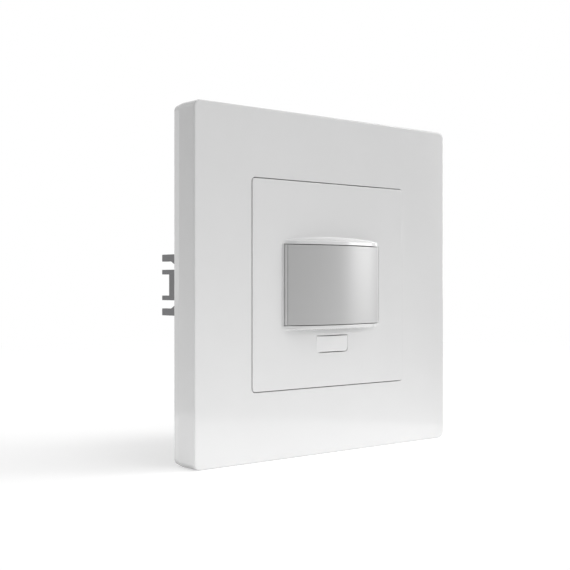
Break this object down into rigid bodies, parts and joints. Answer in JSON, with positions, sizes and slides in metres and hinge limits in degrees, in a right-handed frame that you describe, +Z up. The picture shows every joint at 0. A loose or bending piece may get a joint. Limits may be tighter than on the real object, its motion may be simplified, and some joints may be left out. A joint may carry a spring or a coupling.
{
  "type": "motion sensor light switch",
  "caption": "Flush wall switch: a square white frame around a cover with a curved grey infrared lens and an override button, on a box mechanism with spreading claws.",
  "frame": {"origin": "middle of the box fixing screws, on the wall plane behind the strap", "axes": "+X to the right, +Y into the wall, +Z up"},
  "size_m": [0.084, 0.0379, 0.084],
  "materials": {
    "white_gloss": "smooth glossy white moulding",
    "lens_grey": "satin translucent grey moulding",
    "housing_light": "fine matt light grey moulding",
    "housing_dark": "fine matt dark grey moulding",
    "strap_steel": "zinc-plated sheet steel",
    "claw_steel": "dull grey spring steel",
    "fastener_steel": "zinc-plated steel",
    "board_green": "solder-masked circuit board",
    "can_metal": "nickel-plated can",
    "filter_dark": "dark polished filter",
    "contact_metal": "plated contact metal",
    "clear_resin": "clear resin",
    "black_plastic": "matt black moulding",
    "plunger_red": "smooth red moulding",
    "trimmer_blue": "smooth blue moulding",
    "inner_white": "natural white moulding",
    "film_yellow": "glossy moulded box",
    "sleeve_blue": "shrink sleeve",
    "varistor_blue": "dipped coating",
    "ferrite_brown": "ferrite with a lacquered winding",
    "terminal_grey": "matt grey moulding",
    "release_orange": "smooth orange moulding"
  },
  "bodies": {
    "mechanism": {"frame_plate": "white_gloss", "centre_cover": "white_gloss", "fresnel_lens": "lens_grey", "front_housing": "housing_light", "rear_housing": "housing_dark", "mounting_strap": "strap_steel", "housing_screws": "fastener_steel", "claw_pins": "fastener_steel", "sensor_board": "board_green", "power_board": "board_green", "pir_can": "can_metal", "pir_filter": "filter_dark", "pir_leads": "contact_metal", "header_pins": "contact_metal", "terminal_contacts": "contact_metal", "light_sensor": "clear_resin", "switch_body": "black_plastic", "board_header": "black_plastic", "relay": "black_plastic", "trimmer_bodies": "trimmer_blue", "board_spacers": "inner_white", "film_capacitor": "film_yellow", "bulk_capacitor": "sleeve_blue", "varistor": "varistor_blue", "choke": "ferrite_brown", "terminal_live": "terminal_grey", "terminal_load": "terminal_grey", "terminal_extra": "terminal_grey"},
    "button": {"push_button": "white_gloss"},
    "plunger": {"switch_plunger": "plunger_red"},
    "claw_left": {"claw_left": "claw_steel"},
    "claw_right": {"claw_right": "claw_steel"},
    "claw_screw_left": {"claw_screw_left": "fastener_steel"},
    "claw_screw_right": {"claw_screw_right": "fastener_steel"},
    "time_rotor": {"time_rotor": "inner_white"},
    "lux_rotor": {"lux_rotor": "inner_white"},
    "release_live": {"release_live": "release_orange"},
    "release_load": {"release_load": "release_orange"},
    "release_extra": {"release_extra": "release_orange"}
  },
  "joints": [
    {"name": "button_press", "type": "slide", "parent": "mechanism", "child": "button", "axis": [0, 1, 0], "range_m": [0, 0.0006], "stiffness_N_per_m": 400},
    {"name": "plunger_press", "type": "slide", "parent": "mechanism", "child": "plunger", "axis": [0, 1, 0], "range_m": [0, 0.0006]},
    {"name": "claw_left_drive", "type": "slide", "parent": "mechanism", "child": "claw_screw_left", "axis": [0, 1, 0], "range_m": [0, 0.00111]},
    {"name": "claw_right_drive", "type": "slide", "parent": "mechanism", "child": "claw_screw_right", "axis": [0, 1, 0], "range_m": [0, 0.00111]},
    {"name": "claw_left_swing", "type": "hinge", "parent": "mechanism", "child": "claw_left", "pos_m": [-0.0276, 0.0034, 0], "axis": [0, 0, 1], "range_deg": [0, 20]},
    {"name": "claw_right_swing", "type": "hinge", "parent": "mechanism", "child": "claw_right", "pos_m": [0.0276, 0.0034, 0], "axis": [0, 0, -1], "range_deg": [0, 20]},
    {"name": "time_turn", "type": "hinge", "parent": "mechanism", "child": "time_rotor", "pos_m": [-0.0094, -0.0045, -0.01467], "axis": [0, -1, 0], "range_deg": [-135, 135]},
    {"name": "lux_turn", "type": "hinge", "parent": "mechanism", "child": "lux_rotor", "pos_m": [0.0094, -0.0045, -0.01467], "axis": [0, -1, 0], "range_deg": [-135, 135]},
    {"name": "release_live_press", "type": "slide", "parent": "mechanism", "child": "release_live", "axis": [0, -1, 0], "range_m": [0, 0.0007], "stiffness_N_per_m": 400},
    {"name": "release_load_press", "type": "slide", "parent": "mechanism", "child": "release_load", "axis": [0, -1, 0], "range_m": [0, 0.0007], "stiffness_N_per_m": 400},
    {"name": "release_extra_press", "type": "slide", "parent": "mechanism", "child": "release_extra", "axis": [0, -1, 0], "range_m": [0, 0.0007], "stiffness_N_per_m": 400}
  ],
  "couplings": [
    {"joint": "plunger_press", "follows": "button_press", "ratio": 1},
    {"joint": "claw_left_swing", "follows": "claw_left_drive", "rad_per_m": 314.03},
    {"joint": "claw_right_swing", "follows": "claw_right_drive", "rad_per_m": 314.03}
  ]
}
